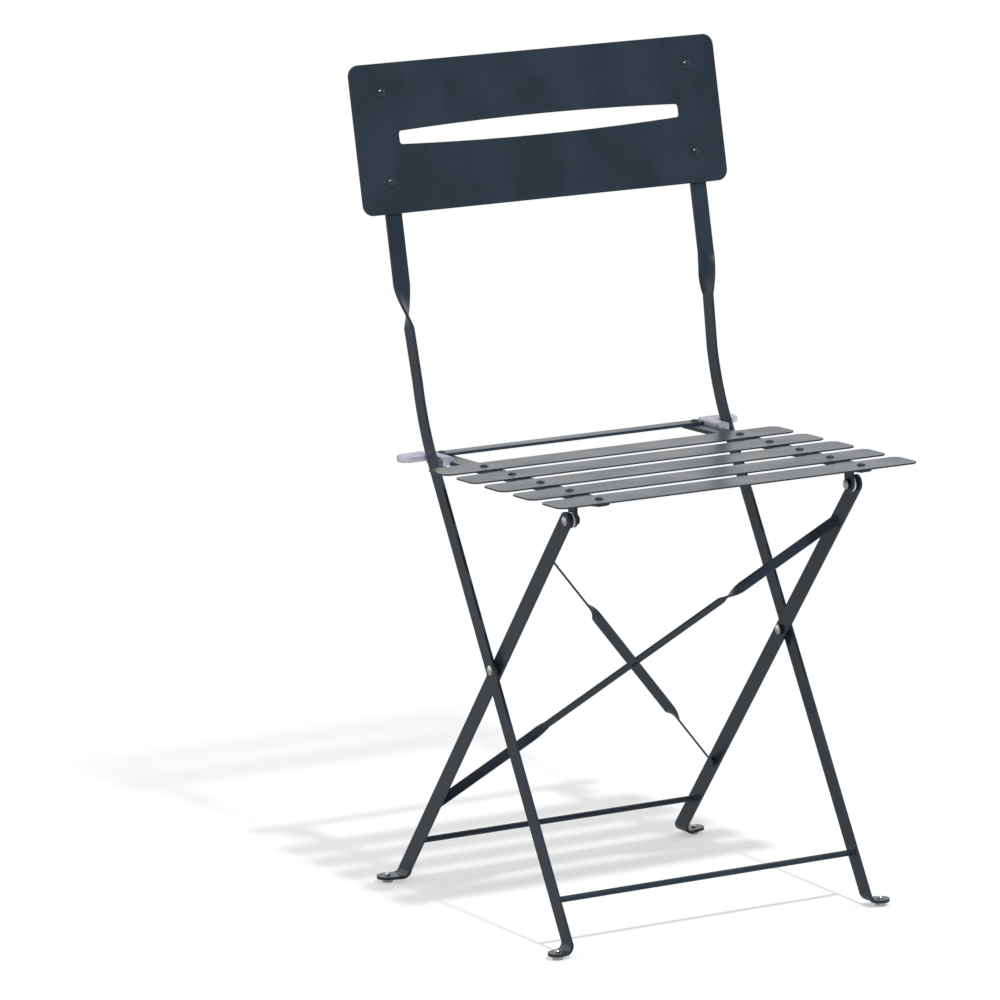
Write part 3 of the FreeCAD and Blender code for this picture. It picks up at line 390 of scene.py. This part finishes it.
dome_steps = 7
turn_steps = 36


def turned_dome(bm, seat, radius, rise, rim, way):
    """Half profile of a domed head on the XZ plane, from its pole out to its rim and back to the seat."""
    sphere = (radius ** 2 + (rise - rim) ** 2) / (2 * (rise - rim))
    pole = bm.verts.new((0, 0, seat + way * rise))
    bmesh.ops.spin(bm, geom=[pole], cent=(0, 0, seat + way * (rise - sphere)), axis=(0, way, 0),
                   angle=math.asin(radius / sphere), steps=dome_steps, use_merge=False)
    bm.verts.ensure_lookup_table()
    tip = bm.verts[-1]
    under = bm.verts.new((radius, 0, seat))
    bm.edges.new((tip, under))
    return under


def rivet(grip, shank, head, rise, rim=0.0004, tail_rise=None):
    """A rivet along Z: its head sits on z 0 and its shank runs down to a second, upset head."""
    bm = bmesh.new()
    upper = turned_dome(bm, 0, head, rise, rim, 1)
    lower = turned_dome(bm, -grip, head, tail_rise or rise, rim, -1)
    neck = bm.verts.new((shank, 0, 0))
    foot = bm.verts.new((shank, 0, -grip))
    for first, second in ((upper, neck), (neck, foot), (foot, lower)):
        bm.edges.new((first, second))
    bmesh.ops.spin(bm, geom=bm.verts[:] + bm.edges[:], cent=(0, 0, 0), axis=(0, 0, 1),
                   angle=math.tau, steps=turn_steps, use_merge=True)
    bmesh.ops.remove_doubles(bm, verts=bm.verts, dist=same_place)
    bmesh.ops.recalc_face_normals(bm, faces=bm.faces)
    return bm


def copies(pattern, places):
    """One bmesh holding the pattern at each of these placements."""
    whole = bmesh.new()
    mesh = bpy.data.meshes.new("pattern")
    pattern.to_mesh(mesh)
    pattern.free()
    for place in places:
        known = len(whole.verts)
        whole.from_mesh(mesh)
        bmesh.ops.transform(whole, matrix=place, verts=whole.verts[known:])
    bpy.data.meshes.remove(mesh)
    return whole


def rivets_of(node, turn, grip, **sizes):
    """The rivet at each solid of the node, turned from Z, with the middle of its grip on the solid's."""
    return copies(rivet(grip, **sizes),
                  [Matrix.Translation(middle) @ turn @ Matrix.Translation((0, 0, grip / 2))
                   for middle in middles(node)])


back_lean = math.radians(10.2)
panel_grip = 0.005
smooth_coat = surface("powder_coat_on_rivets", anthracite, anthracite_edge,
                      rough=0.19, rough_swing=0.03, bump=0.15, lump_scale=1100.0, edge_width=0.0003,
                      dustiness=0.03, Specular_IOR_Level=0.5)
add_piece("panel_rivet_heads",
          rivets_of("backrest_rivets", Matrix.Rotation(math.pi / 2 - back_lean, 4, "X"), panel_grip,
                    shank=0.002, head=0.0046, rise=0.0019),
          smooth_coat, "front_frame", ["backrest_rivets"])


# Stretchers. A 6 mm round rod is welded between the front legs and another between the rear legs,
# each with a bead run all the way round its ends.
def rod(node, sides=32):
    """A plain round bar across the chair, in the place of the node."""
    low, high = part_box(node)
    bm = bmesh.new()
    radius = (high.z - low.z) / 2
    bmesh.ops.create_cone(bm, cap_ends=True, segments=sides, radius1=radius, radius2=radius,
                          depth=high.x - low.x)
    across = Matrix.Translation((low + high) / 2) @ Matrix.Rotation(math.pi / 2, 4, "Y")
    bmesh.ops.transform(bm, matrix=across, verts=bm.verts)
    return bm


def weld_rings(node, leg, rise, puddles=13, steps_in_puddle=8, swelling=0.05):
    """Two weld beads, each a ring of overlapping puddles round a rod's end against the legs' inner faces."""
    low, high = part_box(node)
    radius = (high.z - low.z) / 2
    bm = bmesh.new()
    hollow_slope = ((0, 0), (0.35, 0.18), (0.8, 0.75), (1, 1), (1, 0))
    start = [bm.verts.new((out * leg, 0, radius + up * rise)) for out, up in hollow_slope]
    for first, second in zip(start, start[1:] + start[:1]):
        bm.edges.new((first, second))
    bmesh.ops.spin(bm, geom=bm.verts[:] + bm.edges[:], cent=(0, 0, 0), axis=(1, 0, 0),
                   angle=math.tau, steps=puddles * steps_in_puddle, use_merge=True)
    bmesh.ops.remove_doubles(bm, verts=bm.verts, dist=same_place)
    off_the_rod = radius * 1.01
    for vert in bm.verts:
        if math.hypot(vert.co.y, vert.co.z) > off_the_rod:
            turn = math.atan2(vert.co.z, vert.co.y)
            swell = 1 + swelling * abs(math.sin(puddles * turn / 2))
            vert.co.y *= swell
            vert.co.z *= swell
    middle = (low + high) / 2
    left_end = Matrix.Translation((high.x - leg, middle.y, middle.z))
    both_ends = copies(bm, [left_end, Matrix.Diagonal((-1, 1, 1, 1)) @ left_end])
    bmesh.ops.recalc_face_normals(both_ends, faces=both_ends.faces)
    return both_ends


ring_leg = 0.0022
ring_rise = 0.0016
for end, body in (("front", "front_frame"), ("rear", "rear_frame")):
    node = end + "_stretcher"
    add_piece(end + "_rod", rod(node), coat, body, [node])
    add_piece(end + "_rod_welds", weld_rings(node, ring_leg, ring_rise), coat, body)

# Rear legs. Straight lengths of the same strap as the uprights. The top end is rounded to an eye for the
# seat pivot, and the foot is turned out to a tab.
for side in SIDES:
    add_piece("rear_strap_" + side, softened("rear_leg_" + side, strap_rounding), coat,
              "rear_frame", ["rear_leg_" + side])


# Crossed braces. Two thin 10 mm straps lie flat on each other where they cross. They twist on edge
# towards the legs, both twists the same way round, and their mitred ends are welded on.
def bead(start, end, thickness, puddle=0.0021, rings_in_puddle=6, sides=12):
    """A weld bead from one point to the other: a closed, rippled tube with small ends."""
    length = (end - start).length
    puddles = max(2, round(length / puddle))
    rings = puddles * rings_in_puddle
    ripple_height = 0.12
    end_size = 0.25
    end_rings = 5
    bm = bmesh.new()
    loop = bmesh.ops.create_circle(bm, cap_ends=False, segments=sides, radius=thickness)["verts"]
    edges = bm.edges[:]
    sizes = []
    for ring in range(rings + 1):
        ripple = 1 + ripple_height * abs(math.sin(math.pi * ring * puddles / rings))
        run_out = math.sin(math.pi * min(ring, rings - ring, end_rings) / (2 * end_rings))
        sizes.append(ripple * (end_size + (1 - end_size) * run_out))
    bmesh.ops.scale(bm, vec=(sizes[0],) * 3, verts=loop)
    bmesh.ops.contextual_create(bm, geom=edges)
    for before, size in zip(sizes, sizes[1:]):
        grown = bmesh.ops.extrude_edge_only(bm, edges=edges)["geom"]
        loop = [item for item in grown if isinstance(item, bmesh.types.BMVert)]
        edges = [item for item in grown if isinstance(item, bmesh.types.BMEdge)]
        bmesh.ops.scale(bm, vec=(size / before, size / before, 1), verts=loop)
        bmesh.ops.translate(bm, vec=(0, 0, length / rings), verts=loop)
    bmesh.ops.contextual_create(bm, geom=edges)
    bmesh.ops.recalc_face_normals(bm, faces=bm.faces)
    turn = (end - start).to_track_quat("Z", "Y").to_matrix().to_4x4()
    bmesh.ops.transform(bm, matrix=Matrix.Translation(start) @ turn, verts=bm.verts)
    return bm


def gathered(parts):
    """One bmesh out of several."""
    whole = bmesh.new()
    for part in parts:
        mesh = bpy.data.meshes.new("part")
        part.to_mesh(mesh)
        part.free()
        whole.from_mesh(mesh)
        bpy.data.meshes.remove(mesh)
    return whole


def brace_welds(node, thickness):
    """Beads along both long sides of each mitred end, where it meets the leg."""
    bm = merged(node)
    reach = max(vert.co.x for vert in bm.verts)
    at_the_leg = 1e-5
    short_of_corner = 0.05
    beads = []
    for sign in (1, -1):
        corners = [vert.co.copy() for vert in bm.verts if abs(vert.co.x * sign - reach) < at_the_leg]
        middle = sum(corners, Vector()) / len(corners)
        corners.sort(key=lambda corner: math.atan2((corner - middle).z, (corner - middle).y))
        sides = list(zip(corners, corners[1:] + corners[:1]))
        sides.sort(key=lambda side: (side[0] - side[1]).length)
        for start, end in sides[-2:]:
            first = start.lerp(end, short_of_corner)
            last = start.lerp(end, 1 - short_of_corner)
            beads.append(bead(first, last, thickness))
    bm.free()
    return gathered(beads)


brace_rounding = 0.0004
brace_bead = 0.0011
for way in ("rising", "falling"):
    add_piece("brace_strap_" + way, softened("cross_brace_" + way, brace_rounding), coat,
              "rear_frame", ["cross_brace_" + way])
    add_piece("brace_welds_" + way, brace_welds("cross_brace_" + way, brace_bead), coat,
              "rear_frame")

# Bright rivets. Zinc-plated steel at the four pivots, with the same head on both ends, and one through
# each foot, with a high round head on the tab and a low one inside the button.
zinc = surface("bright_zinc", (0.66, 0.66, 0.64), (0.80, 0.80, 0.78),
               rough=0.30, rough_swing=0.08, bump=0.12, lump_scale=700.0, edge_width=0.0004,
               dustiness=0.02, Metallic=1.0)
pivot_rise = 0.002
for joint, body in (("leg", "front_frame"), ("seat", "rear_frame")):
    for side in SIDES:
        node = "%s_pivot_rivet_%s" % (joint, side)
        low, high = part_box(node)
        grip = high.x - low.x - 2 * pivot_rise
        add_piece(node + "_heads",
                  rivets_of(node, Matrix.Rotation(math.pi / 2, 4, "Y"), grip,
                            shank=0.003, head=0.0048, rise=pivot_rise),
                  zinc, body, [node])

foot_head_rise = 0.0027
foot_tail_rise = 0.0009
for end, body in (("front", "front_frame"), ("rear", "rear_frame")):
    node = end + "_foot_rivets"
    low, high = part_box(node)
    tab_top = high.z - foot_head_rise
    foot_rivet = rivet(tab_top - low.z - foot_tail_rise, shank=0.002, head=0.0028, rise=foot_head_rise,
                       rim=0.0003, tail_rise=foot_tail_rise)
    places = [Matrix.Translation((middle.x, middle.y, tab_top)) for middle in middles(node)]
    add_piece(end + "_foot_rivet_heads", copies(foot_rivet, places), zinc, body, [node])

# White nylon. Moulded buttons under the feet keep the steel off the floor, and a thin ring lies beside
# each seat lug, so that painted steel never turns on painted steel.
white_nylon = surface("white_nylon", (0.78, 0.78, 0.76), (0.84, 0.84, 0.82),
                      rough=0.45, rough_swing=0.05, bump=0.12, lump_scale=1500.0, edge_width=0.0004,
                      dustiness=0.05, Subsurface_Weight=0.15, Subsurface_Scale=0.002)
moulded_rounding = 0.0007
ring_rounding = 0.0003
for end, body in (("front", "front_frame"), ("rear", "rear_frame")):
    for side in SIDES:
        node = "%s_foot_glide_%s" % (end, side)
        add_piece("%s_foot_button_%s" % (end, side), softened(node, moulded_rounding, segments=4),
                  white_nylon, body, [node])
for side in SIDES:
    node = "seat_pivot_washer_" + side
    add_piece("seat_pivot_ring_" + side, softened(node, ring_rounding, segments=2), white_nylon,
              "rear_frame", [node])

# Black nylon. Spacers part the straps at both pivots, and a smaller washer lies under the inner head of
# each pivot rivet.
black_nylon = surface("black_nylon", (0.012, 0.012, 0.014), (0.03, 0.03, 0.033),
                      rough=0.5, rough_swing=0.05, bump=0.12, lump_scale=1500.0, edge_width=0.0004,
                      dustiness=0.05)
for solid, piece, body in (("leg_pivot_washer", "leg_pivot_spacer_ring", "front_frame"),
                           ("leg_pivot_collar", "leg_pivot_collar_ring", "front_frame"),
                           ("seat_pivot_spacer", "seat_pivot_spacer_ring", "rear_frame"),
                           ("seat_pivot_collar", "seat_pivot_collar_ring", "rear_frame")):
    for side in SIDES:
        node = "%s_%s" % (solid, side)
        add_piece("%s_%s" % (piece, side), softened(node, ring_rounding, segments=2), black_nylon,
                  body, [node])

# Stop studs. Short steel pins are welded to the inner faces of the posts. The ledges of the seat's glides
# rest on them when the chair stands open.
stud_rounding = 0.0004
for side in SIDES:
    add_piece("stop_pin_" + side, softened("stop_stud_" + side, stud_rounding, segments=2), coat,
              "front_frame", ["stop_stud_" + side])

# Seat rails and lugs. A flat strap runs under the slats on each side, with an ear welded under its
# outer edge that turns on the seat pivot.
ear_bead = 0.0012
for side in SIDES:
    add_piece("rail_strap_" + side, softened("side_rail_" + side, strap_rounding), coat,
              "seat", ["side_rail_" + side])
    add_piece("rail_ear_" + side, softened("pivot_lug_" + side, strap_rounding), coat,
              "seat", ["pivot_lug_" + side])
    ear_low, ear_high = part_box("pivot_lug_" + side)
    inner_face = ear_low.x if side == "left" else ear_high.x
    add_piece("rail_ear_weld_" + side,
              bead(Vector((inner_face, ear_low.y + ear_bead, ear_high.z)),
                   Vector((inner_face, ear_high.y - ear_bead, ear_high.z)), ear_bead),
              coat, "seat")

# Slats and rear bar. Five flat bars of 1.5 mm sheet with rounded corners lie across the rails, and a
# 3 mm strap joins the rails' rear ends behind the posts.
slat_rounding = 0.0004
for number in range(1, 6):
    node = "slat_%d" % number
    add_piece("slat_bar_%d" % number, softened(node, slat_rounding), coat, "seat", [node])
add_piece("rear_bar", softened("rear_crossbar", strap_rounding), coat,
          "seat", ["rear_crossbar"])

# Black rivets. Mushroom heads, two to each slat and one to each end of the rear bar, and a flatter one
# where the braces cross.
black = surface("black_rivet_paint", (0.010, 0.011, 0.013), (0.04, 0.042, 0.045),
                rough=0.33, rough_swing=0.05, bump=0.2, lump_scale=1100.0, edge_width=0.0004,
                dustiness=0.03)
slat_grip = 0.0055
bar_grip = 0.007
rear_slat_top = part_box("slat_1")[1]
front_slat_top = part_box("slat_5")[1]
seat_slope = math.atan2(front_slat_top.z - rear_slat_top.z, rear_slat_top.y - front_slat_top.y)
seat_facing = Matrix.Rotation(-seat_slope, 4, "X")
for node, piece, grip in (("slat_rivets", "slat_rivet_heads", slat_grip),
                          ("crossbar_rivets", "bar_rivet_heads", bar_grip)):
    add_piece(piece, rivets_of(node, seat_facing, grip, shank=0.0022, head=0.0043, rise=0.002, rim=0.0005),
              black, "seat", [node])

rear_lean = math.radians(41.66)
brace_grip = 0.004
add_piece("brace_rivet_heads",
          rivets_of("brace_rivet", Matrix.Rotation(rear_lean - math.pi / 2, 4, "X"), brace_grip,
                    shank=0.002, head=0.0036, rise=0.0014),
          black, "rear_frame", ["brace_rivet"])

# Seat glides. Cloudy nylon sleeves over the ends of the rear bar, round at their tips, each with a
# cheek that fills the room between rail and post. The bar shows faintly through them.
cloudy_nylon = surface("cloudy_nylon", (0.84, 0.83, 0.97), (0.88, 0.87, 0.98),
                       rough=0.36, rough_swing=0.05, bump=0.08, lump_scale=900.0, edge_width=0.0006,
                       dustiness=0.03, Transmission_Weight=0.62, IOR=1.35)
for side in SIDES:
    add_piece("bar_sleeve_" + side, softened("seat_glide_" + side, moulded_rounding, segments=4),
              cloudy_nylon, "seat", ["seat_glide_" + side])
